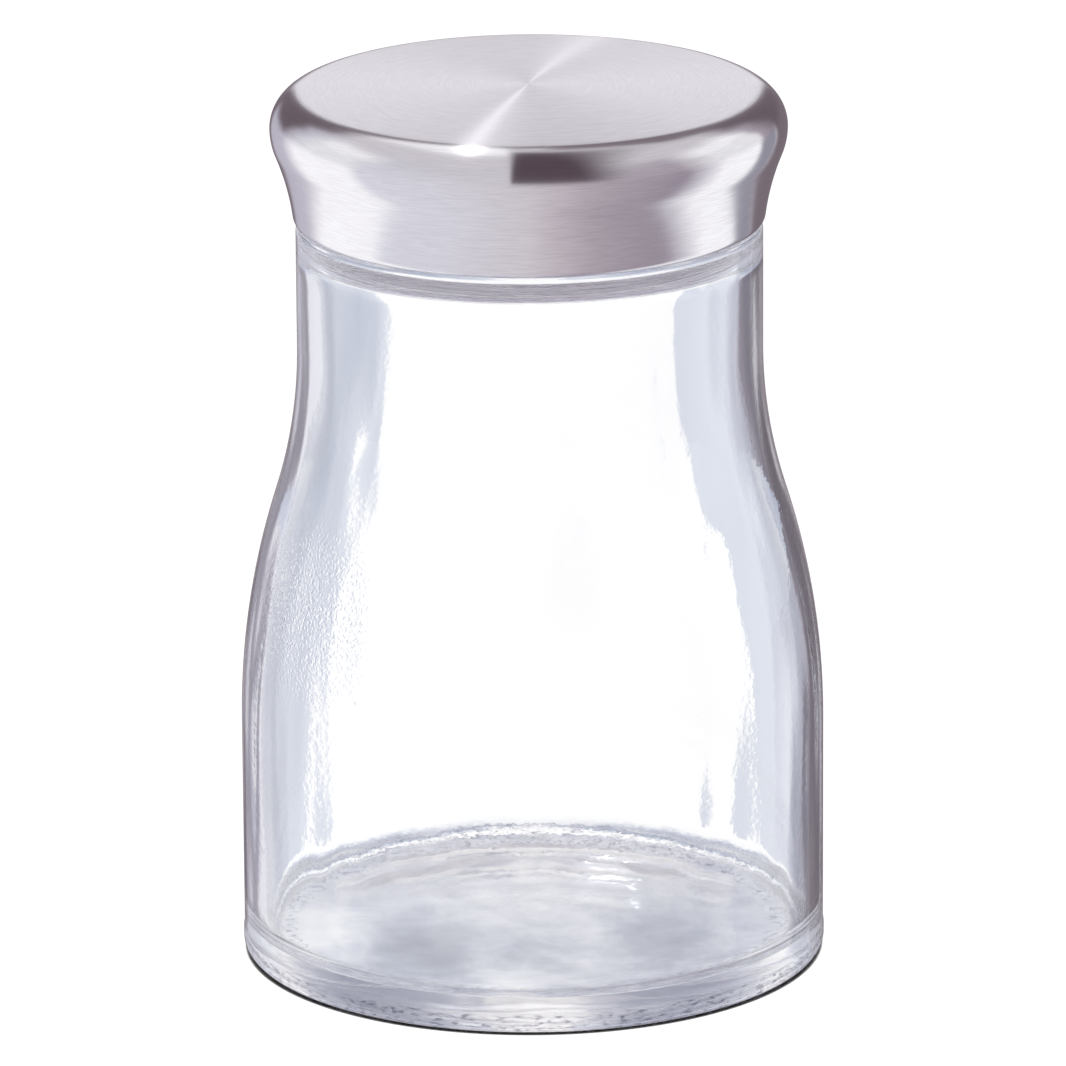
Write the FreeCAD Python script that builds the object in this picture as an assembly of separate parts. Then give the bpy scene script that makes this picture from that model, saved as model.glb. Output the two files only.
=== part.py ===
"""Small waisted glass jar for spices, with a flared steel screw lid.

Millimetres, +Z up. The origin is the middle of the base, on the surface the jar stands on.
Four pieces: the glass jar, the steel lid shell, the threaded insert inside it and the sealing liner.
"""
import FreeCAD
import Part

import math
import os

Vector = FreeCAD.Vector

# Glass jar, heights in the order they stack up
body_height = 26.2          # straight lower side
taper_height = 42.4         # side drawn in by an S-curve
waist_height = 13.8         # straight waist under the lid
floor_height = 3.3          # inside floor above the table
push_up_depth = 1.0         # hollow under the floor
foot_band_height = 2.2      # band left by the mould's bottom plate

# Glass jar, radii and widths
body_radius = 32.0
finish_radius = 22.4        # neck between the threads
shoulder_ledge = 3.0        # flat step from the neck out to the waist
base_ring_width = 5.0       # from the body's side in to the hollow
foot_band_step = 0.1        # how far the foot band stands proud

# Glass jar, walls and roundings
glass_wall = 2.4
finish_wall = 2.6
shoulder_thickness = 1.6
lower_arc_share = 0.606     # share of the S-curve's height that the outward arc makes
heel_radius = 1.3
floor_corner_radius = 2.5
shoulder_edge_radius = 0.8
inner_shoulder_radius = 2.6
rim_radius = 1.0

# Thread on the glass and in the insert, right-handed, six to the inch
thread_pitch = 25.4 / 6
thread_turns = 1.25
thread_depth = 1.2
thread_root_width = 2.0
thread_crest_width = 0.8
thread_fade = 0.12          # turns over which each end sinks into its wall
thread_bite = 0.4           # how deep a thread is rooted in its wall
thread_low = 3.2            # lower end of the glass thread above the shoulder
thread_top_land = 2.2       # plain neck between the thread and the rim

# Lid insert
insert_wall = 1.3
insert_roof = 1.2
insert_edge_radius = 0.5
insert_thread_low = 1.4     # lower end of its thread above the insert's lower edge
retaining_bead_width = 0.7  # ring under the liner, inward from the wall
retaining_bead_height = 0.9

# Sealing liner
liner_thickness = 1.2

# Lid shell
sheet = 0.5
edge_bend_radius = 0.8      # outside bend where the lower edge turns in
edge_lean = 7.6             # degrees from upright, just above the bend
flare_lean = 22.2           # degrees from upright, where the flare is steepest
bulge_radius = 6.7
corner_radius = 4.05
crown_rise = 0.6            # middle of the top above its edge

# Clearances
lid_gap = 0.35              # lid's lower edge to the glass shoulder
thread_radial_gap = 0.25    # either thread's crest to the wall it faces
thread_flank_gap = 0.2      # between the two flanks that pull the lid down
seal_gap = 0.05             # rim to liner, and liner to roof
shell_gap = 0.05            # insert to shell
liner_side_gap = 0.35       # liner to the insert's wall
bead_gap = 0.1              # liner to the retaining bead under it
edge_side_gap = 0.3         # turned-in edge back from the insert's inner wall

# What follows for the jar
taper_start = body_height
waist_start = taper_start + taper_height
shoulder = waist_start + waist_height
thread_rise = thread_pitch * thread_turns
rim = shoulder + thread_low + thread_rise + thread_root_width / 2 + thread_top_land
waist_radius = finish_radius + shoulder_ledge
waist_inside = waist_radius - glass_wall
bore_radius = finish_radius - finish_wall

# What follows for the lid
insert_bore_radius = finish_radius + thread_depth + thread_radial_gap
insert_radius = insert_bore_radius + insert_wall
liner_radius = insert_bore_radius - liner_side_gap
liner_bottom = rim + seal_gap
roof_bottom = liner_bottom + liner_thickness + seal_gap
roof_top = roof_bottom + insert_roof
lid_edge = shoulder + lid_gap
lid_edge_radius = insert_radius + shell_gap + sheet
lid_top_edge = roof_top + shell_gap + sheet
insert_bottom = lid_edge + sheet + shell_gap


def point(radius, height):
    return (Vector(radius, 0, height),)


def arc(centre, radius, start, end):
    """Start, middle and end of an arc; angles in degrees, 0 outward and 90 up."""
    angles = [math.radians(a) for a in (start, (start + end) / 2, end)]
    return tuple(Vector(centre[0] + radius * math.cos(a), 0, centre[1] + radius * math.sin(a)) for a in angles)


def backwards(arcs):
    return [piece[::-1] for piece in reversed(arcs)]


def turned(outline):
    """Solid turned about the axis from points and arcs, which straight lines join in order."""
    edges = []
    for piece, following in zip(outline, outline[1:] + outline[:1]):
        if len(piece) == 3:
            edges.append(Part.Arc(*piece).toShape())
        if piece[-1].distanceToPoint(following[0]) > 1e-6:
            edges.append(Part.makeLine(piece[-1], following[0]))
    return Part.Face(Part.Wire(edges)).revolve(Vector(0, 0, 0), Vector(0, 0, 1), 360)


def thread_section(wall_radius, outward, depth, turn):
    """Closed outline of the thread at a turn of its helix, rooted in the wall it stands on."""
    slope = (thread_root_width - thread_crest_width) / 2 / thread_depth
    root = thread_root_width / 2 + slope * thread_bite
    crest = thread_crest_width / 2
    outline = [(-thread_bite, -root), (depth, -crest), (depth, crest), (-thread_bite, root)]
    corners = [Vector(wall_radius + outward * out, 0, up) for out, up in outline]
    section = Part.makePolygon(corners + corners[:1])
    section.rotate(Vector(0, 0, 0), Vector(0, 0, 1), 360 * turn)
    section.translate(Vector(0, 0, thread_pitch * turn))
    return section


def thread_stretch(wall_radius, outward, turns, depths):
    """Part of the thread between two turns, whose depth changes evenly from one to the other."""
    spine = Part.makeHelix(thread_pitch, thread_pitch * (turns[1] - turns[0]), wall_radius)
    spine.rotate(Vector(0, 0, 0), Vector(0, 0, 1), 360 * turns[0])
    spine.translate(Vector(0, 0, thread_pitch * turns[0]))
    sweep = Part.BRepOffsetAPI.MakePipeShell(spine)
    sweep.setBiNormalMode(Vector(0, 0, 1))
    sweep.add(thread_section(wall_radius, outward, depths[0], turns[0]))
    if depths[1] != depths[0]:
        sweep.add(thread_section(wall_radius, outward, depths[1], turns[1]))
    sweep.build()
    sweep.makeSolid()
    return sweep.shape()


def thread(wall_radius, outward, low, start_turn):
    """Helical bead on a round wall, outward 1 or -1, with both ends sinking into the wall."""
    sunk = -thread_bite / 4
    full = (thread_fade, thread_turns - thread_fade)
    bead = thread_stretch(wall_radius, outward, full, (thread_depth, thread_depth))
    lower_end = thread_stretch(wall_radius, outward, (0, full[0]), (sunk, thread_depth))
    upper_end = thread_stretch(wall_radius, outward, (full[1], thread_turns), (thread_depth, sunk))
    bead = bead.fuse([lower_end, upper_end])
    bead.rotate(Vector(0, 0, 0), Vector(0, 0, 1), 360 * start_turn)
    bead.translate(Vector(0, 0, low))
    return bead


def side_arcs(inset):
    """Two tangent arcs of the jar's S-curve, from the body up to the waist, moved inward by inset."""
    half_turn = math.atan2(body_radius - waist_radius, taper_height)
    turn = math.degrees(2 * half_turn)
    both_radii = taper_height / math.sin(2 * half_turn)
    lower = lower_arc_share * both_radii
    upper = both_radii - lower
    return [arc((body_radius - lower, taper_start), lower - inset, 0, turn),
            arc((waist_radius + upper, waist_start), upper + inset, 180 + turn, 180)]


def base_arc():
    """Shallow dome under the floor, from the axis out to the base ring."""
    hollow_radius = body_radius - base_ring_width
    sphere = (hollow_radius ** 2 + push_up_depth ** 2) / (2 * push_up_depth)
    reach = math.degrees(math.asin(hollow_radius / sphere))
    return arc((0, push_up_depth - sphere), sphere, 90, 90 - reach)


def jar_outside():
    foot_radius = body_radius + foot_band_step
    return [
        base_arc(),
        arc((foot_radius - heel_radius, heel_radius), heel_radius, -90, 0),
        point(foot_radius, foot_band_height),
        point(body_radius, foot_band_height + 3 * foot_band_step),
        *side_arcs(0),
        arc((waist_radius - shoulder_edge_radius, shoulder - shoulder_edge_radius), shoulder_edge_radius, 0, 90),
        arc((finish_radius + shoulder_edge_radius, shoulder + shoulder_edge_radius), shoulder_edge_radius, 270, 180),
        arc((finish_radius - rim_radius, rim - rim_radius), rim_radius, 0, 90),
    ]


def jar_inside():
    ceiling = shoulder - shoulder_thickness
    bore_edge_radius = waist_inside - bore_radius - inner_shoulder_radius
    floor_arc_radius = body_radius - glass_wall - floor_corner_radius
    return [
        arc((bore_radius + rim_radius, rim - rim_radius), rim_radius, 90, 180),
        arc((bore_radius + bore_edge_radius, ceiling + bore_edge_radius), bore_edge_radius, 180, 270),
        arc((waist_inside - inner_shoulder_radius, ceiling - inner_shoulder_radius), inner_shoulder_radius, 90, 0),
        *backwards(side_arcs(glass_wall)),
        arc((floor_arc_radius, floor_height + floor_corner_radius), floor_corner_radius, 0, -90),
        point(0, floor_height),
    ]


def glass_jar():
    body = turned(jar_outside() + jar_inside())
    return body.fuse(thread(finish_radius, 1, shoulder + thread_low, 0))


def lid_arcs(inset):
    """Lid's profile from its lower edge up to the middle of the top, moved inward by inset."""
    bend_centre = (lid_edge_radius - edge_bend_radius, lid_edge + edge_bend_radius)
    bend = arc(bend_centre, edge_bend_radius - inset, -90, -edge_lean)
    edge_sine, edge_cosine = math.sin(math.radians(edge_lean)), math.cos(math.radians(edge_lean))
    flare_sine, flare_cosine = math.sin(math.radians(flare_lean)), math.cos(math.radians(flare_lean))

    corner_height = lid_top_edge - corner_radius
    flare_start = bend_centre[1] - edge_bend_radius * edge_sine
    flare_height = corner_height - bulge_radius * flare_sine - flare_start
    flare_radius = flare_height / (flare_sine - edge_sine)
    flare_centre = (bend_centre[0] + (edge_bend_radius + flare_radius) * edge_cosine,
                    flare_start - flare_radius * edge_sine)
    flare = arc(flare_centre, flare_radius + inset, 180 - edge_lean, 180 - flare_lean)

    bulge_centre = (flare_centre[0] - (flare_radius + bulge_radius) * flare_cosine, corner_height)
    bulge = arc(bulge_centre, bulge_radius - inset, -flare_lean, 0)

    corner_centre = (bulge_centre[0] + bulge_radius - corner_radius, corner_height)
    crown_drop = (corner_centre[0] ** 2 - crown_rise ** 2) / (2 * crown_rise)
    crown_edge = math.degrees(math.atan2(crown_drop, corner_centre[0]))
    corner = arc(corner_centre, corner_radius - inset, 0, crown_edge)
    crown_radius = crown_rise + corner_radius + crown_drop
    crown = arc((0, corner_height - crown_drop), crown_radius - inset, crown_edge, 90)
    return [bend, flare, bulge, corner, crown]


def lid_shell():
    turned_in_radius = insert_bore_radius + edge_side_gap
    outline = [point(turned_in_radius, lid_edge), *lid_arcs(0)]
    outline += [*backwards(lid_arcs(sheet)), point(turned_in_radius, lid_edge + sheet)]
    return turned(outline)


def lid_insert():
    shell_corner_radius = lid_arcs(0)[3][0].x - corner_radius
    roof_cut = max(insert_radius - shell_corner_radius, insert_edge_radius)
    bead_top = liner_bottom - bead_gap
    bead_radius = insert_bore_radius - retaining_bead_width
    body = turned([
        point(0, roof_top),
        point(insert_radius - roof_cut, roof_top),
        point(insert_radius, roof_top - roof_cut),
        arc((insert_radius - insert_edge_radius, insert_bottom + insert_edge_radius), insert_edge_radius, 0, -90),
        point(insert_bore_radius, insert_bottom),
        point(insert_bore_radius, bead_top - retaining_bead_height),
        point(bead_radius, bead_top - retaining_bead_height / 3),
        point(bead_radius, bead_top),
        point(insert_bore_radius, bead_top),
        point(insert_bore_radius, roof_bottom),
        point(0, roof_bottom),
    ])
    flank_slope = (thread_root_width - thread_crest_width) / 2 / thread_depth
    thread_offset = thread_root_width - flank_slope * (thread_depth + thread_radial_gap) + thread_flank_gap
    low = insert_bottom + insert_thread_low
    start_turn = (low - (shoulder + thread_low - thread_offset)) / thread_pitch
    return body.fuse(thread(insert_bore_radius, -1, low, start_turn))


def sealing_liner():
    return Part.makeCylinder(liner_radius, liner_thickness, Vector(0, 0, liner_bottom))


os.makedirs("parts", exist_ok=True)
for make_piece in (glass_jar, lid_shell, lid_insert, sealing_liner):
    solid = make_piece()
    solid.exportStep(f"parts/{make_piece.__name__}.step")
    print(f"{make_piece.__name__}: {solid.Volume / 1000:.2f} cm3")
print(f"overall: {2 * body_radius:.1f} across, {lid_top_edge + crown_rise:.1f} high")
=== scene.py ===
import math

import bmesh
import bpy
from mathutils import Matrix, Vector, noise


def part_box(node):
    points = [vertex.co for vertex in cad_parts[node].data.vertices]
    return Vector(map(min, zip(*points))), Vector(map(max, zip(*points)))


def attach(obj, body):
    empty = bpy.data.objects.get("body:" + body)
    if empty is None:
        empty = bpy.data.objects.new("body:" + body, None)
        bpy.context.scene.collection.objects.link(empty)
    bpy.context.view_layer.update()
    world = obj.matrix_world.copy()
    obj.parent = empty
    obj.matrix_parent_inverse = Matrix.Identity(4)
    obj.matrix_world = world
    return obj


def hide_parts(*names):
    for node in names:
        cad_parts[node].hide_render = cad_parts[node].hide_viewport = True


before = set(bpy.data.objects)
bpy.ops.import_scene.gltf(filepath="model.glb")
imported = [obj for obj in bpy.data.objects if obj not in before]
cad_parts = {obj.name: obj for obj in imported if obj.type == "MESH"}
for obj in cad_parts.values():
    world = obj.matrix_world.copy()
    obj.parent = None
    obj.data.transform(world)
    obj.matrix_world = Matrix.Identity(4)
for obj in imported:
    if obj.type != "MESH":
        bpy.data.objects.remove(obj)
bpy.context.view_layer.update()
MM = 0.001

# Camera. A long lens 1.15 m away looks down 16.7 degrees at the middle of the jar. Both angles come from the
# ellipses of the lid and the base, and the slight roll from the jar's axis, which leans left in the picture.
camera_distance = 1152 * MM
camera_elevation = math.radians(16.69)
camera_roll = math.radians(-0.38)
aim_height = 47 * MM
aim_side = 0.18 * MM
focal_pixels = 10516
picture_pixels = 1066

camera_data = bpy.data.cameras.new("camera")
camera_data.sensor_width = 36
camera_data.lens = camera_data.sensor_width * focal_pixels / picture_pixels
camera = bpy.data.objects.new("camera", camera_data)
bpy.context.scene.collection.objects.link(camera)
aim = Vector((aim_side, 0, aim_height))
back = Vector((0, -math.cos(camera_elevation), math.sin(camera_elevation)))
turn = (-back).to_track_quat("-Z", "Y").to_matrix() @ Matrix.Rotation(camera_roll, 3, "Z")
camera.matrix_world = Matrix.Translation(aim + back * camera_distance) @ turn.to_4x4()
bpy.context.scene.camera = camera


# Glass jar. One piece of clear soda-lime glass, pressed and blown in a mould: the outside is true to the mould,
# and the inside wall is left a little wavy by the blowing air. The neck under the lid carries the thread.
def arc(centre, radius, start, end, steps):
    """Points along an arc of a profile; angles in degrees, 0 outward and 90 up."""
    angles = [math.radians(start + (end - start) * i / steps) for i in range(steps + 1)]
    return [(centre[0] + radius * math.cos(a), centre[1] + radius * math.sin(a)) for a in angles]


def line(start, end, steps):
    """Evenly spaced points along a straight part of a profile, its two ends left out."""
    shares = [i / steps for i in range(1, steps)]
    return [tuple(a + (b - a) * share for a, b in zip(start, end)) for share in shares]


def lathe(bm, profile, steps):
    """Spins a profile in millimetres about the jar's axis and returns the new vertices.

    One sector is spun first and then copied round, which is far quicker than spinning many steps at once."""
    before = set(bm.verts)
    corners = [bm.verts.new((r * MM, 0, z * MM)) for r, z in profile]
    edges = [bm.edges.new(pair) for pair in zip(corners, corners[1:])]
    sectors = 12
    sector = math.tau / sectors
    bmesh.ops.spin(bm, geom=corners + edges, cent=(0, 0, 0), axis=(0, 0, 1), angle=sector,
                   steps=steps // sectors, use_duplicate=False)
    spun = set(bm.verts) - before
    faces = [face for face in bm.faces if face.verts[0] in spun]
    bmesh.ops.spin(bm, geom=list(spun) + faces, cent=(0, 0, 0), axis=(0, 0, 1), angle=math.tau - sector,
                   steps=sectors - 1, use_duplicate=True)
    return [vert for vert in bm.verts if vert not in before]


def finished(bm, name):
    """Merges what touches, turns the faces outward and links the mesh as a smooth object at the origin."""
    bmesh.ops.remove_doubles(bm, verts=bm.verts, dist=0.0005 * MM)
    bmesh.ops.recalc_face_normals(bm, faces=bm.faces)
    for face in bm.faces:
        face.smooth = True
    mesh = bpy.data.meshes.new(name)
    bm.to_mesh(mesh)
    bm.free()
    piece = bpy.data.objects.new(name, mesh)
    bpy.context.scene.collection.objects.link(piece)
    return piece


def linear(code, brightness=1.0):
    """An sRGB hex colour as linear numbers, made brighter or darker."""
    parts = [int(code[i:i + 2], 16) / 255 for i in (1, 3, 5)]
    levels = [c / 12.92 if c <= 0.04045 else ((c + 0.055) / 1.055) ** 2.4 for c in parts]
    return (*(level * brightness for level in levels), 1)


def node(tree, kind, links=None, stops=None, **settings):
    """Adds a node. links maps an input to a value, a socket or a node; stops are a colour ramp's (place, colour)."""
    made = tree.nodes.new(kind)
    for name, value in settings.items():
        setattr(made, name, value)
    for name, value in (links or {}).items():
        if isinstance(value, bpy.types.Node):
            value = next(output for output in value.outputs if output.enabled)
        if isinstance(value, bpy.types.NodeSocket):
            tree.links.new(value, made.inputs[name])
        else:
            made.inputs[name].default_value = value
    if stops:
        elements = made.color_ramp.elements
        while len(elements) < len(stops):
            elements.new(1)
        for element, (place, colour) in zip(elements, stops):
            element.position = place
            element.color = colour
    return made


def material(name):
    made = bpy.data.materials.new(name)
    made.use_nodes = True
    return made, made.node_tree, made.node_tree.nodes["Principled BSDF"]


jar_low, jar_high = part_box("glass_jar")
body_radius = 32.0
waist_radius = 25.4
finish_radius = 22.4
bore_radius = 19.8
body_height = 26.2
taper_height = 42.4
shoulder = 82.4
rim = jar_high.z / MM
glass_wall = 2.4
floor_height = 3.3
push_up_depth = 1.0
push_up_radius = 27.0
foot_radius = jar_high.x / MM
foot_band_height = 2.2
heel_radius = 1.3
floor_corner_radius = 2.5
shoulder_edge_radius = 0.8
inner_shoulder_radius = 2.6
rim_radius = 1.0
lower_arc_share = 0.606
jar_steps = 288

thread_pitch = 25.4 / 6
thread_turns = 1.25
thread_depth = 1.2
thread_low = shoulder + 3.2
thread_root_width = 2.0
thread_fade = 0.12


def side_arcs(inset, steps):
    """The two arcs of the S-curve between body and waist, moved inward, from the body up."""
    half_turn = math.atan2(body_radius - waist_radius, taper_height)
    turn_angle = math.degrees(2 * half_turn)
    both = taper_height / math.sin(2 * half_turn)
    lower = both * lower_arc_share
    upper = both - lower
    waist_start = body_height + taper_height
    return (arc((body_radius - lower, body_height), lower - inset, 0, turn_angle, steps)
            + arc((waist_radius + upper, waist_start), upper + inset, 180 + turn_angle, 180, steps)[1:])


def outside_profile():
    hollow = (push_up_radius ** 2 + push_up_depth ** 2) / (2 * push_up_depth)
    reach = math.degrees(math.asin(push_up_radius / hollow))
    points = arc((0, push_up_depth - hollow), hollow, 90, 90 - reach, 16)
    points += line(points[-1], (foot_radius - heel_radius, 0), 5)
    points += arc((foot_radius - heel_radius, heel_radius), heel_radius, -90, 0, 8)
    points += [(foot_radius, foot_band_height), (body_radius + 0.03, foot_band_height + 0.15),
               (body_radius, foot_band_height + 0.3)]
    points += line(points[-1], (body_radius, body_height), 24)
    points += side_arcs(0, 20)
    points += line(points[-1], (waist_radius, shoulder - shoulder_edge_radius), 10)
    points += arc((waist_radius - shoulder_edge_radius, shoulder - shoulder_edge_radius),
                  shoulder_edge_radius, 0, 90, 6)
    points += arc((finish_radius + shoulder_edge_radius, shoulder + shoulder_edge_radius),
                  shoulder_edge_radius, 270, 180, 5)
    points += line(points[-1], (finish_radius, rim - rim_radius), 44)
    return points + arc((finish_radius - rim_radius, rim - rim_radius), rim_radius, 0, 90, 6)


def inside_profile():
    ceiling = shoulder - 1.6
    bore_edge = waist_radius - glass_wall - bore_radius - inner_shoulder_radius
    points = arc((bore_radius + rim_radius, rim - rim_radius), rim_radius, 90, 180, 6)
    points += line(points[-1], (bore_radius, ceiling + bore_edge), 10)
    points += arc((bore_radius + bore_edge, ceiling + bore_edge), bore_edge, 180, 270, 6)
    points += arc((waist_radius - glass_wall - inner_shoulder_radius, ceiling - inner_shoulder_radius),
                  inner_shoulder_radius, 90, 0, 8)
    side = side_arcs(glass_wall, 20)[::-1]
    points += line(points[-1], side[0], 10) + side
    inside_radius = body_radius - glass_wall
    points += line(points[-1], (inside_radius, floor_height + floor_corner_radius), 14)
    points += arc((inside_radius - floor_corner_radius, floor_height + floor_corner_radius),
                  floor_corner_radius, 0, -90, 12)
    return points + line(points[-1], (0, floor_height), 18) + [(0, floor_height)]


def thread_push(angle, height):
    """How far the thread bead stands out of the neck at an angle and height, in millimetres."""
    turns = angle / math.tau
    best = 0
    for lap in range(2):
        along = turns + lap
        if not 0 <= along <= thread_turns:
            continue
        middle = thread_low + thread_pitch * along
        across = abs(height - middle) / (thread_root_width / 2)
        ends = min(along, thread_turns - along) / thread_fade
        fade = min(1, ends) ** 0.5
        best = max(best, fade * max(0, 1 - across ** 2.6))
    return best * thread_depth


bm = bmesh.new()
frost = bm.verts.layers.float.new("frost")
# The second layer marks the foot band, where the glass's colour carries painted shade.
painted_speck_band = bm.verts.layers.float.new("painted_speck_band")
blown_wave = 0.10 * MM
blown_wave_size = 9 * MM
streak_wave = 0.03 * MM
streak_wave_size = 2.6 * MM
thinning = 0.5 * MM
stretched_start, stretched_end = 30, 68
floor_wave = 0.12 * MM
floor_wave_size = 6 * MM
for vert in lathe(bm, outside_profile(), jar_steps):
    radius = math.hypot(vert.co.x, vert.co.y)
    height = vert.co.z / MM
    vert[frost] = float(radius < push_up_radius * MM)
    if radius > (push_up_radius - 1) * MM:
        vert[painted_speck_band] = float(height < foot_band_height + 0.1)
    if height > shoulder + 0.5 and radius > (finish_radius - 0.01) * MM:
        outward = Vector((vert.co.x, vert.co.y, 0)) / radius
        angle = math.atan2(vert.co.y, vert.co.x) % math.tau
        vert.co += outward * thread_push(angle, height) * MM
for vert in lathe(bm, inside_profile(), jar_steps):
    radius = math.hypot(vert.co.x, vert.co.y)
    height = vert.co.z / MM
    above_floor = height - floor_height
    if above_floor < floor_corner_radius:
        share = max(0, above_floor) / floor_corner_radius
        vert[frost] = (1 + 36 * share) * (1 - share) ** 2
    if above_floor < 0.1:
        vert.co.z += noise.noise(vert.co / floor_wave_size) * floor_wave
    elif height < rim - 3:
        outward = Vector((vert.co.x, vert.co.y, 0)) / radius
        stretched = Vector((vert.co.x, vert.co.y, vert.co.z * 0.45))
        wave = noise.noise(stretched / blown_wave_size) * blown_wave
        stretched.z *= 0.2
        wave += noise.noise(stretched / streak_wave_size) * streak_wave
        stretching = min(1, max(0, (stretched_end - height) / (stretched_end - stretched_start)))
        vert.co += outward * (wave + thinning * stretching ** 2 * (3 - 2 * stretching))
glass = finished(bm, "jar_glass")

glass_material, tree, shader = material("soda_lime_glass")
# Clear soda-lime glass: IOR 1.52, no metal, fire polished. The floor and the underside are pressed against cooler
# iron, so they come out a little frosted, and the skin has a fine orange peel, coarser in a few patches.
shader.inputs["IOR"].default_value = 1.52
shader.inputs["Transmission Weight"].default_value = 1.0
frosted = node(tree, "ShaderNodeAttribute", attribute_name="frost").outputs["Fac"]
roughness = node(tree, "ShaderNodeMath", {0: frosted, 1: 0.05}, operation="MULTIPLY")
tree.links.new(roughness.outputs[0], shader.inputs["Roughness"])
place = node(tree, "ShaderNodeTexCoord").outputs["Object"]
peel_size = 0.7 * MM
peel_height = 0.0035 * MM
speck_size = 0.4 * MM
speck_height = 0.014 * MM
painted_speck_length = 1.0 * MM
peel = node(tree, "ShaderNodeTexNoise", {"Vector": place, "Scale": 1 / peel_size, "Detail": 1.0})
skin = node(tree, "ShaderNodeBump", {"Height": peel.outputs["Fac"], "Distance": peel_height, "Strength": 1.0})
specks = node(tree, "ShaderNodeTexNoise", {"Vector": place, "Scale": 1 / speck_size, "Detail": 0.0})
raised = node(tree, "ShaderNodeMapRange", {"Value": specks.outputs["Fac"], "From Min": 0.58, "From Max": 0.75})
from_patch = node(tree, "ShaderNodeVectorMath", {0: place, 1: tuple(c * MM for c in (-26, -18.5, 44))},
                  operation="DISTANCE")
where = node(tree, "ShaderNodeMapRange", {"Value": from_patch.outputs["Value"], "From Min": 12 * MM,
                                          "From Max": 4 * MM})
dimples = node(tree, "ShaderNodeMath", {0: raised, 1: where}, operation="MULTIPLY")
skin = node(tree, "ShaderNodeBump", {"Height": dimples, "Distance": speck_height, "Strength": 1.0, "Normal": skin})
tree.links.new(skin.outputs["Normal"], shader.inputs["Normal"])
# Painted shade on the foot band: dark grey dashes mixed into the glass's colour stand in for the dark specks that the
# foot shows.
painted_speck_band_mask = node(tree, "ShaderNodeAttribute", attribute_name="painted_speck_band").outputs["Fac"]
flattened = node(tree, "ShaderNodeVectorMath", {0: place, 1: (1, 1, 3)}, operation="MULTIPLY")
painted_speck_noise = node(tree, "ShaderNodeTexNoise", {"Vector": flattened, "Scale": 1 / painted_speck_length, "Detail": 3.0})
painted_speck_mask = node(tree, "ShaderNodeMapRange", {"Value": painted_speck_noise.outputs["Fac"], "From Min": 0.50, "From Max": 0.66})
painted_speck_mask = node(tree, "ShaderNodeMath", {0: painted_speck_mask, 1: painted_speck_band_mask}, operation="MULTIPLY")
clear = node(tree, "ShaderNodeMix", {0: painted_speck_mask, 6: linear("#FFFFFF"), 7: linear("#767484")}, data_type="RGBA")
tree.links.new(next(output for output in clear.outputs if output.enabled), shader.inputs["Base Color"])
glass.data.materials.append(glass_material)
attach(glass, "jar")
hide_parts("glass_jar")


# Sealing liner. A disc punched from closed-cell polyethylene foam with a smooth skin. It lies loose in the insert
# and keeps a shallow ring where the rim has pressed into it.
liner_low, liner_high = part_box("sealing_liner")
liner_radius = liner_high.x / MM
liner_bottom, liner_top = liner_low.z / MM, liner_high.z / MM
ring_radius = (bore_radius + finish_radius) / 2
liner_profile = [(0, liner_bottom), (bore_radius - 0.4, liner_bottom)]
liner_profile += arc((ring_radius, liner_bottom - 1.6), 1.75, 125, 55, 6)
liner_profile += [(finish_radius + 0.4, liner_bottom), (liner_radius - 0.15, liner_bottom)]
liner_profile += [(liner_radius, liner_bottom + 0.15), (liner_radius, liner_top - 0.15)]
liner_profile += [(liner_radius - 0.15, liner_top), (0, liner_top)]
bm = bmesh.new()
lathe(bm, liner_profile, 128)
liner = finished(bm, "foam_liner")
liner_material, tree, shader = material("polyethylene_foam")
# Closed-cell polyethylene foam: white, soft and dull, IOR 1.5, with cells of about 0.3 mm that show as a fine pitting.
shader.inputs["Base Color"].default_value = linear("#F3F1F3")
shader.inputs["Roughness"].default_value = 0.6
cell_size = 0.3 * MM
cells = node(tree, "ShaderNodeTexVoronoi", {"Vector": node(tree, "ShaderNodeTexCoord").outputs["Object"],
                                            "Scale": 1 / cell_size})
pitting = node(tree, "ShaderNodeBump", {"Height": cells.outputs["Distance"], "Distance": 0.02 * MM})
tree.links.new(pitting.outputs["Normal"], shader.inputs["Normal"])
liner.data.materials.append(liner_material)
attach(liner, "liner")
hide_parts("sealing_liner")


# Lid insert. Injection moulded from natural polypropylene, with the thread that grips the glass. It sits inside the
# steel shell, and only its lower face and thread show when the lid is off.
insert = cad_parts["lid_insert"]
insert_material, tree, shader = material("natural_polypropylene")
# Natural polypropylene: milky, waxy and half matt, IOR 1.49, with the fine grain of a spark-eroded mould.
shader.inputs["Base Color"].default_value = linear("#F1EFF3")
shader.inputs["IOR"].default_value = 1.49
grain_size = 0.25 * MM
grain = node(tree, "ShaderNodeTexNoise", {"Vector": node(tree, "ShaderNodeTexCoord").outputs["Object"],
                                          "Scale": 1 / grain_size, "Detail": 3.0})
waxy = node(tree, "ShaderNodeMapRange", {"Value": grain.outputs["Fac"], "To Min": 0.34, "To Max": 0.46})
tree.links.new(waxy.outputs["Result"], shader.inputs["Roughness"])
relief = node(tree, "ShaderNodeBump", {"Height": grain.outputs["Fac"], "Distance": 0.003 * MM})
tree.links.new(relief.outputs["Normal"], shader.inputs["Normal"])
insert.data.materials.clear()
insert.data.materials.append(insert_material)


# Lid shell. Pressed and spun from 0.5 mm stainless steel sheet, then brushed on a turntable: the scratches run in
# circles on the top and round the side. The lower edge is turned in and holds the insert.
lid_low, lid_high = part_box("lid_shell")
insert_low, insert_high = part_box("lid_insert")
sheet = 0.5
lid_edge = lid_low.z / MM
lid_top = lid_high.z / MM
crown_rise = 0.6
edge_bend_radius = 0.8
edge_lean = 7.6
flare_lean = 22.2
bulge_radius = 6.7
corner_radius = 4.05
edge_radius = insert_high.x / MM + 0.05 + sheet
turned_in_radius = 24.15


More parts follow.
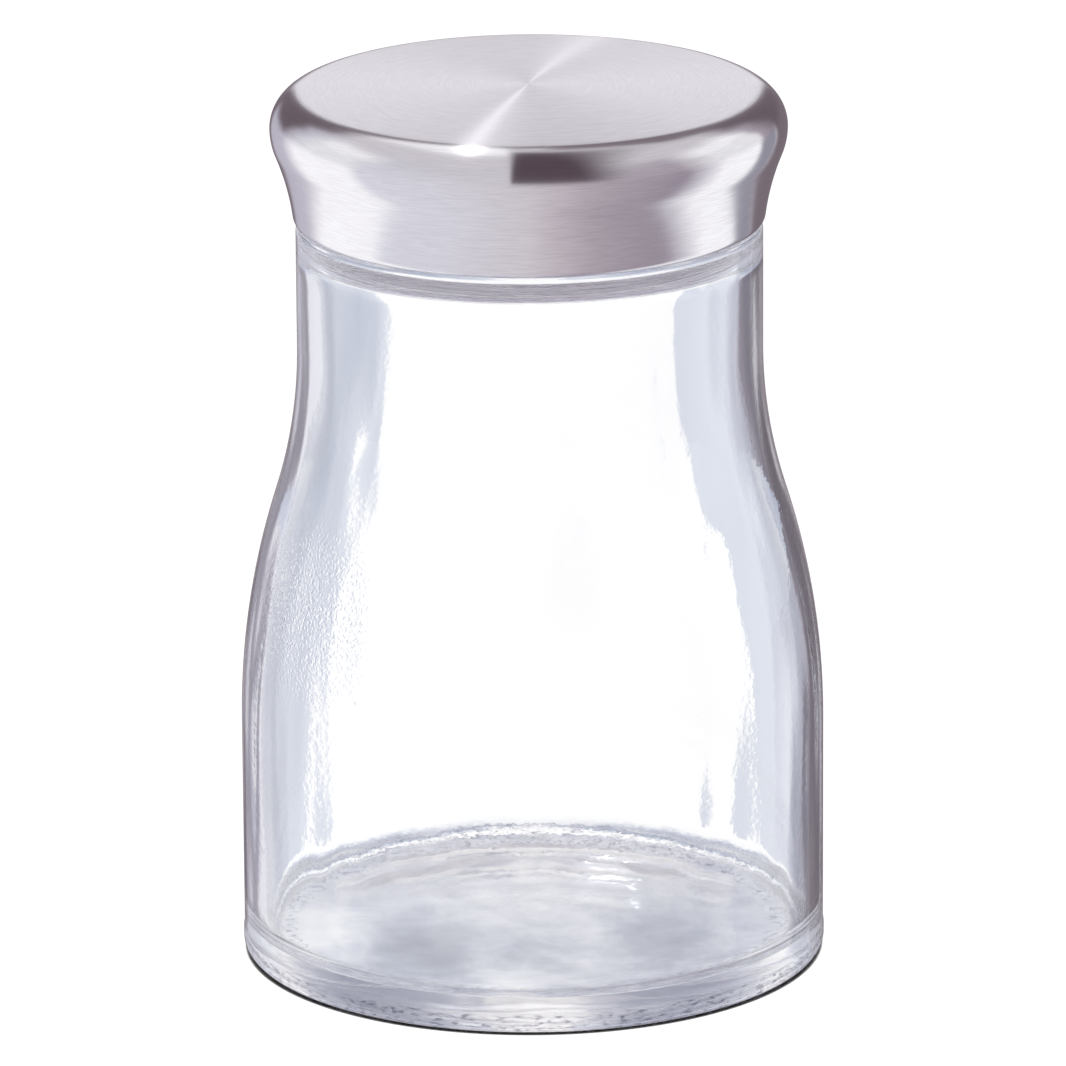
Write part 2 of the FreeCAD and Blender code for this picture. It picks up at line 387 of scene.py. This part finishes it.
def lid_profile(inset):
    """Profile of the shell from its lower edge to the middle of the top, moved inward by inset."""
    bend_centre = (edge_radius - edge_bend_radius, lid_edge + edge_bend_radius)
    edge_sine, edge_cosine = math.sin(math.radians(edge_lean)), math.cos(math.radians(edge_lean))
    flare_sine, flare_cosine = math.sin(math.radians(flare_lean)), math.cos(math.radians(flare_lean))
    corner_height = lid_top - crown_rise - corner_radius
    flare_start = bend_centre[1] - edge_bend_radius * edge_sine
    flare_radius = (corner_height - bulge_radius * flare_sine - flare_start) / (flare_sine - edge_sine)
    flare_centre = (bend_centre[0] + (edge_bend_radius + flare_radius) * edge_cosine,
                    flare_start - flare_radius * edge_sine)
    bulge_centre = flare_centre[0] - (flare_radius + bulge_radius) * flare_cosine
    corner_centre = bulge_centre + bulge_radius - corner_radius
    drop = (corner_centre ** 2 - crown_rise ** 2) / (2 * crown_rise)
    crown_edge = math.degrees(math.atan2(drop, corner_centre))
    crown_radius = crown_rise + corner_radius + drop
    points = arc(bend_centre, edge_bend_radius - inset, -90, -edge_lean, 8)
    points += arc(flare_centre, flare_radius + inset, 180 - edge_lean, 180 - flare_lean, 24)[1:]
    points += arc((bulge_centre, corner_height), bulge_radius - inset, -flare_lean, 0, 10)[1:]
    points += arc((corner_centre, corner_height), corner_radius - inset, 0, crown_edge, 24)[1:]
    return points + arc((0, corner_height - drop), crown_radius - inset, crown_edge, 90, 30)[1:]


outer = lid_profile(0)
inner = lid_profile(sheet)[::-1]
bm = bmesh.new()
lathe(bm, outer, 288)
lathe(bm, inner + [(turned_in_radius, lid_edge + sheet), (turned_in_radius, lid_edge), outer[0]], 288)
shell = finished(bm, "steel_shell")
steel_material, tree, shader = material("brushed_stainless_steel")
# Stainless steel, brushed: a light, slightly warm grey metal. The scratches run round, so highlights spread across
# them. Real ones are a few hundredths of a millimetre wide and are drawn coarser here so that they show.
shader.inputs["Metallic"].default_value = 1.0
shader.inputs["Anisotropic"].default_value = 1.0
shader.inputs["Anisotropic Rotation"].default_value = 0.25
tangent = node(tree, "ShaderNodeTangent", direction_type="RADIAL", axis="Z")
tree.links.new(tangent.outputs["Tangent"], shader.inputs["Tangent"])
scratch_width = 0.12 * MM
scratch_length = 2.5 * MM
place = node(tree, "ShaderNodeTexCoord").outputs["Object"]
across = node(tree, "ShaderNodeSeparateXYZ", {"Vector": place})
squares = [node(tree, "ShaderNodeMath", {0: across.outputs[axis], 1: 2}, operation="POWER") for axis in "XY"]
reach = node(tree, "ShaderNodeMath", {0: node(tree, "ShaderNodeMath", {0: squares[0], 1: squares[1]})},
             operation="SQRT")
track = node(tree, "ShaderNodeMath", {0: reach, 1: across.outputs["Z"]}, operation="SUBTRACT")
scratches = node(tree, "ShaderNodeTexNoise", {
    "Vector": node(tree, "ShaderNodeCombineXYZ", {
        "X": node(tree, "ShaderNodeMath", {0: across.outputs["X"], 1: 1 / scratch_length}, operation="MULTIPLY"),
        "Y": node(tree, "ShaderNodeMath", {0: across.outputs["Y"], 1: 1 / scratch_length}, operation="MULTIPLY"),
        "Z": node(tree, "ShaderNodeMath", {0: track, 1: 1 / scratch_width}, operation="MULTIPLY")}),
    "Scale": 1.0, "Detail": 2.0})
tone = node(tree, "ShaderNodeValToRGB", {"Fac": scratches.outputs["Fac"]},
            stops=[(0.3, linear("#D5D3D7")), (0.7, linear("#DFDEE2"))])
tree.links.new(tone.outputs["Color"], shader.inputs["Base Color"])
dulled = node(tree, "ShaderNodeMapRange", {"Value": scratches.outputs["Fac"], "From Min": 0.3, "From Max": 0.7,
                                           "To Min": 0.155, "To Max": 0.135})
tree.links.new(dulled.outputs["Result"], shader.inputs["Roughness"])
furrows = node(tree, "ShaderNodeBump", {"Height": scratches.outputs["Fac"], "Distance": 0.0012 * MM})
ring_width = 1.2 * MM
rings = node(tree, "ShaderNodeTexNoise", {"W": track, "Scale": 1 / ring_width, "Detail": 4.0}, noise_dimensions="1D")
turned = node(tree, "ShaderNodeBump", {"Height": rings.outputs["Fac"], "Distance": 0.006 * MM, "Normal": furrows})
tree.links.new(turned.outputs["Normal"], shader.inputs["Normal"])
shell.data.materials.append(steel_material)
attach(shell, "lid")
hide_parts("lid_shell")


# Floor and light. A plain white table in a small studio: white paper behind, a softbox at each side, a strip light
# high at the back and a pale ceiling. The camera sees pure white; metal and glass see the studio round the jar.
bm = bmesh.new()
bmesh.ops.create_circle(bm, cap_ends=True, segments=96, radius=3)
bmesh.ops.translate(bm, vec=(0, 0, -0.02 * MM), verts=bm.verts)
floor_mesh = bpy.data.meshes.new("floor")
bm.to_mesh(floor_mesh)
bm.free()
floor = bpy.data.objects.new("floor", floor_mesh)
bpy.context.scene.collection.objects.link(floor)


floor_material = bpy.data.materials.new("white_table")
floor_material.use_nodes = True
tree = floor_material.node_tree
tree.nodes.clear()
# White laminate, lit evenly to white, with a painted contact shadow where the jar's foot stands on it. Under the glass
# base it shows painted light: soft light and dark patches that glow in place of the light that the glass gathers
# there, and outside the jar's foot it is out of sight of the metal and the glass.
rays = node(tree, "ShaderNodeLightPath").outputs
place = node(tree, "ShaderNodeTexCoord").outputs["Object"]
# Painted contact shadow: ambient occlusion close to the jar's foot darkens the white that the camera sees.
corner = node(tree, "ShaderNodeAmbientOcclusion", {"Distance": 0.5 * MM}, samples=8)
painted_contact_shade = node(tree, "ShaderNodeMath", {0: corner.outputs["AO"], 1: 6}, operation="POWER")
paper = node(tree, "ShaderNodeBsdfDiffuse", {"Color": linear("#E7E7E7")})
white = node(tree, "ShaderNodeEmission", {"Color": (1, 1, 1, 1),
                                          "Strength": node(tree, "ShaderNodeMath", {0: painted_contact_shade, 1: 1.1},
                                                           operation="MULTIPLY")})
# Painted caustics: noise and a few listed spots, lighter and darker, glow on the table where rays come through the
# glass.
painted_caustic_patches = node(tree, "ShaderNodeTexNoise", {"Vector": place, "Scale": 1 / (5 * MM), "Detail": 6.0, "Roughness": 0.7})
painted_caustic_level = node(tree, "ShaderNodeMapRange", {"Value": painted_caustic_patches.outputs["Fac"], "From Min": 0.3, "From Max": 0.7,
                                             "To Min": 0.36, "To Max": 0.76})
flattened = node(tree, "ShaderNodeVectorMath", {0: place, 1: (1, 0.45, 0)}, operation="MULTIPLY")
for x, y, reach, change in [(-12, -4, 9, -0.50), (14, -2, 10, -0.42), (0, -4, 8, -0.20), (-24, -1, 8, 0.50),
                            (-2, -11, 6, 0.35)]:
    away = node(tree, "ShaderNodeVectorMath", {0: flattened, 1: (x * MM, y * MM, 0)}, operation="DISTANCE")
    painted_caustic_spot = node(tree, "ShaderNodeMapRange", {"Value": away.outputs["Value"], "From Min": reach * MM, "From Max": 0,
                                             "To Max": change}, interpolation_type="SMOOTHSTEP")
    painted_caustic_level = node(tree, "ShaderNodeMath", {0: painted_caustic_level, 1: painted_caustic_spot})
painted_caustic_level = node(tree, "ShaderNodeValToRGB", {"Fac": painted_caustic_level}, stops=[
    (0.0, linear("#6E768C")), (0.3, linear("#9AA2B4")), (0.6, linear("#D2D5E0")), (0.8, linear("#E4E6EE")),
    (1.0, linear("#FFFFFF"))])
painted_caustic_glow = node(tree, "ShaderNodeEmission", {"Color": painted_caustic_level, "Strength": 1.0})
seen = node(tree, "ShaderNodeMixShader", {
    0: node(tree, "ShaderNodeMath", {0: rays["Is Camera Ray"], 1: 0.95}, operation="MULTIPLY"), 1: paper, 2: white})
under = node(tree, "ShaderNodeMixShader", {
    0: node(tree, "ShaderNodeMath", {0: rays["Is Transmission Ray"], 1: 0.85}, operation="MULTIPLY"),
    1: seen, 2: painted_caustic_glow})
distance = node(tree, "ShaderNodeVectorMath", {0: place}, operation="LENGTH")
outside = node(tree, "ShaderNodeMath", {0: distance.outputs["Value"], 1: 31 * MM}, operation="GREATER_THAN")
bounced = node(tree, "ShaderNodeMath", {0: rays["Is Glossy Ray"], 1: rays["Is Transmission Ray"]},
               operation="MAXIMUM")
away = node(tree, "ShaderNodeMath", {0: outside, 1: bounced}, operation="MULTIPLY")
gone = node(tree, "ShaderNodeMath", {0: away, 1: node(tree, "ShaderNodeNewGeometry").outputs["Backfacing"]},
            operation="MAXIMUM")
whole = node(tree, "ShaderNodeMixShader", {0: gone, 1: under, 2: node(tree, "ShaderNodeBsdfTransparent")})
node(tree, "ShaderNodeOutputMaterial", {"Surface": whole})
floor.data.materials.append(floor_material)

world = bpy.data.worlds.new("studio")
world.use_nodes = True
bpy.context.scene.world = world
tree = world.node_tree
tree.nodes.clear()
rays = node(tree, "ShaderNodeLightPath").outputs
toward = node(tree, "ShaderNodeSeparateXYZ", {"Vector": node(tree, "ShaderNodeTexCoord").outputs["Generated"]}).outputs
azimuth = node(tree, "ShaderNodeMath", {0: toward["X"], 1: toward["Y"]}, operation="ARCTAN2")
elevation = node(tree, "ShaderNodeMath", {0: toward["Z"]}, operation="ARCSINE")
around = node(tree, "ShaderNodeMapRange", {"Value": azimuth, "From Min": -math.pi, "From Max": math.pi})


def directions(stops):
    """Stops of a ramp round the horizon; 0 degrees is straight behind the jar, positive to the right."""
    return [(0.5 + degrees / 360, linear(code, brightness)) for degrees, code, brightness in stops]


# What the glass shows behind it: four white panels round the jar with cooler grey gaps between them. Light that has
# gone round inside the glass comes from lower and farther out, where the studio is darker.
panels = node(tree, "ShaderNodeMath", {
    0: node(tree, "ShaderNodeMath", {0: azimuth, 1: 8 / math.tau, 2: 4.5}, operation="MULTIPLY_ADD")},
              operation="FRACT")
straight = node(tree, "ShaderNodeValToRGB", {"Fac": panels}, stops=[
    (0.00, linear("#ACB3C7")), (0.12, linear("#AEB5C9")), (0.22, linear("#B8C0D3")), (0.30, linear("#C9CFDE")),
    (0.385, linear("#E0E5F0")), (0.398, linear("#FFFFFF", 1.10)), (0.602, linear("#FFFFFF", 1.10)),
    (0.615, linear("#DCE1EC")), (0.70, linear("#E2E7F2")), (0.78, linear("#C4CADB")), (0.88, linear("#B4BBCE")),
    (1.00, linear("#ACB3C7"))])
roundabout = node(tree, "ShaderNodeValToRGB", {"Fac": around}, stops=directions([
    (-180, "#B0B4C0", 1), (-60, "#C8CCD8", 1), (-34, "#F0F0F6", 1), (-28, "#8C8490", 1), (-22, "#4E4652", 1),
    (-14, "#4E4652", 1), (-9, "#A8A4B0", 1), (-3, "#D8D6DE", 1), (3, "#C8C4CC", 1), (8, "#8C8490", 1),
    (14, "#4E464E", 1), (25, "#4A424A", 1), (33, "#6A626C", 1), (40, "#8A828C", 1), (50, "#B8B4C0", 1),
    (180, "#B0B4C0", 1)]))
turned_once = node(tree, "ShaderNodeMath", {0: rays["Glossy Depth"], 1: 1, 2: 0.5}, operation="COMPARE")
downward = node(tree, "ShaderNodeMath", {0: elevation, 1: -0.1}, operation="LESS_THAN")
turned_back = node(tree, "ShaderNodeMath", {0: turned_once, 1: downward}, operation="MULTIPLY")
through = node(tree, "ShaderNodeMix", {0: turned_back, 6: straight, 7: roundabout}, data_type="RGBA")

# What the metal and the glass's surface mirror: a white panel straight behind, softboxes at both sides, dark flags
# between them, a pale ceiling and a dark card overhead.
below = node(tree, "ShaderNodeValToRGB", {"Fac": around}, stops=directions([
    (-180, "#EAE4E8", 1), (-137, "#F4F3FA", 1), (-100, "#F6F7FF", 1), (-92, "#FFFFFF", 1.3),
    (-54, "#FFFFFF", 1.3), (-40, "#D8D4E0", 1), (-20, "#C8C4D0", 1), (-15, "#7E727A", 1), (36, "#83777E", 1),
    (38.5, "#D0C8D0", 1), (41, "#A2A2AE", 1), (54, "#A6A4B0", 1), (58, "#FFFFFF", 1.3), (82, "#FFFFFF", 1.3), (92, "#F4F2F8", 1),
    (106, "#AAA0AC", 1), (145, "#C4BAC2", 1), (165, "#DCD2D8", 1), (180, "#EAE4E8", 1)]))
above = node(tree, "ShaderNodeValToRGB", {"Fac": around}, stops=directions([
    (-180, "#E8E4E8", 1), (-100, "#F0F0F8", 1), (-92, "#FFFFFF", 1.05), (-64, "#FFFFFF", 1.05), (-54, "#EDECF4", 1),
    (-46, "#CCC8D2", 1), (-38, "#75686F", 1), (-10.5, "#75686F", 1), (-8.5, "#FAF7FC", 1), (8.5, "#FAF7FC", 1),
    (10.5, "#75686F", 1), (34, "#75686F", 1), (46, "#B2A8B2", 1), (51, "#BCB2BC", 1), (54, "#FFFFFF", 1.1),
    (88, "#FFFFFF", 1.05), (110, "#BFB4BE", 1), (150, "#C8C0C8", 1), (180, "#E8E4E8", 1)]))
arch = node(tree, "ShaderNodeValToRGB", {"Fac": around}, stops=directions([
    (-180, "#E8E4E8", 1), (-110, "#E4E4EA", 1), (-92, "#FFFFFF", 1.2), (-64, "#FFFFFF", 1.2), (-54, "#EDECF4", 1),
    (-42, "#CCC8D2", 1), (-30, "#75686F", 1), (30, "#75686F", 1), (40, "#B0A6B0", 1), (48, "#C0B8C0", 1),
    (54, "#FFFFFF", 1.25), (88, "#FFFFFF", 1.25), (110, "#C0B8C0", 1), (180, "#E8E4E8", 1)]))
studio = below
for start, end, part in [(-1, 6, above), (25, 29, arch), (38, 46, linear("#E8E4E8"))]:
    climb = node(tree, "ShaderNodeMapRange", {"Value": elevation, "From Min": math.radians(start),
                                              "From Max": math.radians(end)})
    studio = node(tree, "ShaderNodeMix", {0: climb, 6: studio, 7: part}, data_type="RGBA")

# Cards hang over the jar: a bright one behind it to the left, a grey one to the right of that, and a dark one that
# reaches from overhead to the front.
leftward = node(tree, "ShaderNodeMath", {0: toward["Y"], 1: -0.07, 2: toward["X"]}, operation="MULTIPLY_ADD")
rightward = node(tree, "ShaderNodeMath", {0: toward["Y"], 1: 0.30, 2: toward["X"]}, operation="MULTIPLY_ADD")
bright_card = [(leftward, -0.070, -0.085), (toward["X"], -0.36, -0.20), (toward["Y"], 0.12, 0.24),
               (toward["Y"], 0.80, 0.66), (elevation, 0.3, 0.4)]
grey_card = [(toward["X"], 0.01, 0.05), (toward["X"], 0.40, 0.26), (elevation, 0.58, 0.66), (elevation, 1.0, 0.86),
             (toward["Y"], 0.3, 0.4)]
dark_card = [(leftward, -0.085, -0.050), (rightward, 0.56, 0.10), (toward["Y"], 0.50, 0.34), (elevation, 0.04, 0.22)]
for edges, colour in [(bright_card, linear("#FFFFFF", 1.25)), (grey_card, linear("#83767E")),
                      (dark_card, linear("#60515A"))]:
    covered = 1
    for value, start, end in edges:
        edge = node(tree, "ShaderNodeMapRange", {"Value": value, "From Min": start, "From Max": end},
                    interpolation_type="SMOOTHSTEP")
        covered = node(tree, "ShaderNodeMath", {0: covered, 1: edge}, operation="MULTIPLY")
    studio = node(tree, "ShaderNodeMix", {0: covered, 6: studio, 7: colour}, data_type="RGBA")

guided = node(tree, "ShaderNodeMath", {0: rays["Glossy Depth"], 1: 1.5}, operation="GREATER_THAN")
guided = node(tree, "ShaderNodeMath", {0: guided, 1: -0.35, 2: 1}, operation="MULTIPLY_ADD")
out_through = node(tree, "ShaderNodeMath", {0: rays["Is Transmission Ray"], 1: guided}, operation="MULTIPLY")
backdrop = node(tree, "ShaderNodeMix", {0: out_through, 6: studio, 7: through}, data_type="RGBA")
bounced = node(tree, "ShaderNodeMath", {0: rays["Is Glossy Ray"], 1: rays["Is Transmission Ray"]},
               operation="MAXIMUM")
plain = node(tree, "ShaderNodeMix", {0: rays["Is Camera Ray"], 6: linear("#FFFFFF", 0.75), 7: linear("#FFFFFF")},
             data_type="RGBA")
light = node(tree, "ShaderNodeMix", {0: bounced, 6: plain, 7: backdrop}, data_type="RGBA")
scattered = node(tree, "ShaderNodeMath", {0: rays["Diffuse Depth"], 1: 0.5}, operation="GREATER_THAN")
lighting = node(tree, "ShaderNodeMath", {0: bounced, 1: scattered}, operation="MULTIPLY")
light = node(tree, "ShaderNodeMix", {0: lighting, 6: light, 7: linear("#F6F2FF", 2.7)}, data_type="RGBA")
sky = node(tree, "ShaderNodeBackground", {"Color": light, "Strength": 1.0})
node(tree, "ShaderNodeOutputWorld", {"Surface": sky})


def strip_light(name, toward, along, width, length, radiance):
    """Rectangular lamp a metre from the lid that faces it, with its long side along a direction."""
    lamp_data = bpy.data.lights.new(name, "AREA")
    lamp_data.shape = "RECTANGLE"
    lamp_data.size = width
    lamp_data.size_y = length
    lamp_data.energy = radiance * math.pi * width * length
    lamp = bpy.data.objects.new(name, lamp_data)
    bpy.context.scene.collection.objects.link(lamp)
    outward = Vector(toward).normalized()
    long_side = (Vector(along) - outward * outward.dot(Vector(along))).normalized()
    axes = Matrix((long_side.cross(outward), long_side, outward)).transposed()
    lamp.matrix_world = Matrix.Translation(Vector((0, 0, lid_top * MM)) + outward) @ axes.to_4x4()
    lamp.visible_camera = False
    return lamp


# The strip light high at the back draws the narrow bright ray across the lid.
strip_light("strip_core", (-0.117, 0.55, 0.827), (-0.20, -0.83, 0.52), 0.010, 0.40, 75)
strip_light("strip_spill", (-0.0735, 0.70, 0.709), (-0.20, -0.707, 0.677), 0.03, 0.62, 0.5)

bpy.context.scene.view_settings.view_transform = "Standard"
# Light goes round inside the thick base of the jar more often than the default number of bounces allows.
bpy.context.scene.cycles.max_bounces = 96
bpy.context.scene.cycles.glossy_bounces = 96
bpy.context.scene.cycles.transmission_bounces = 96
bpy.context.scene.cycles.transparent_max_bounces = 32
bpy.context.scene.cycles.diffuse_bounces = 12
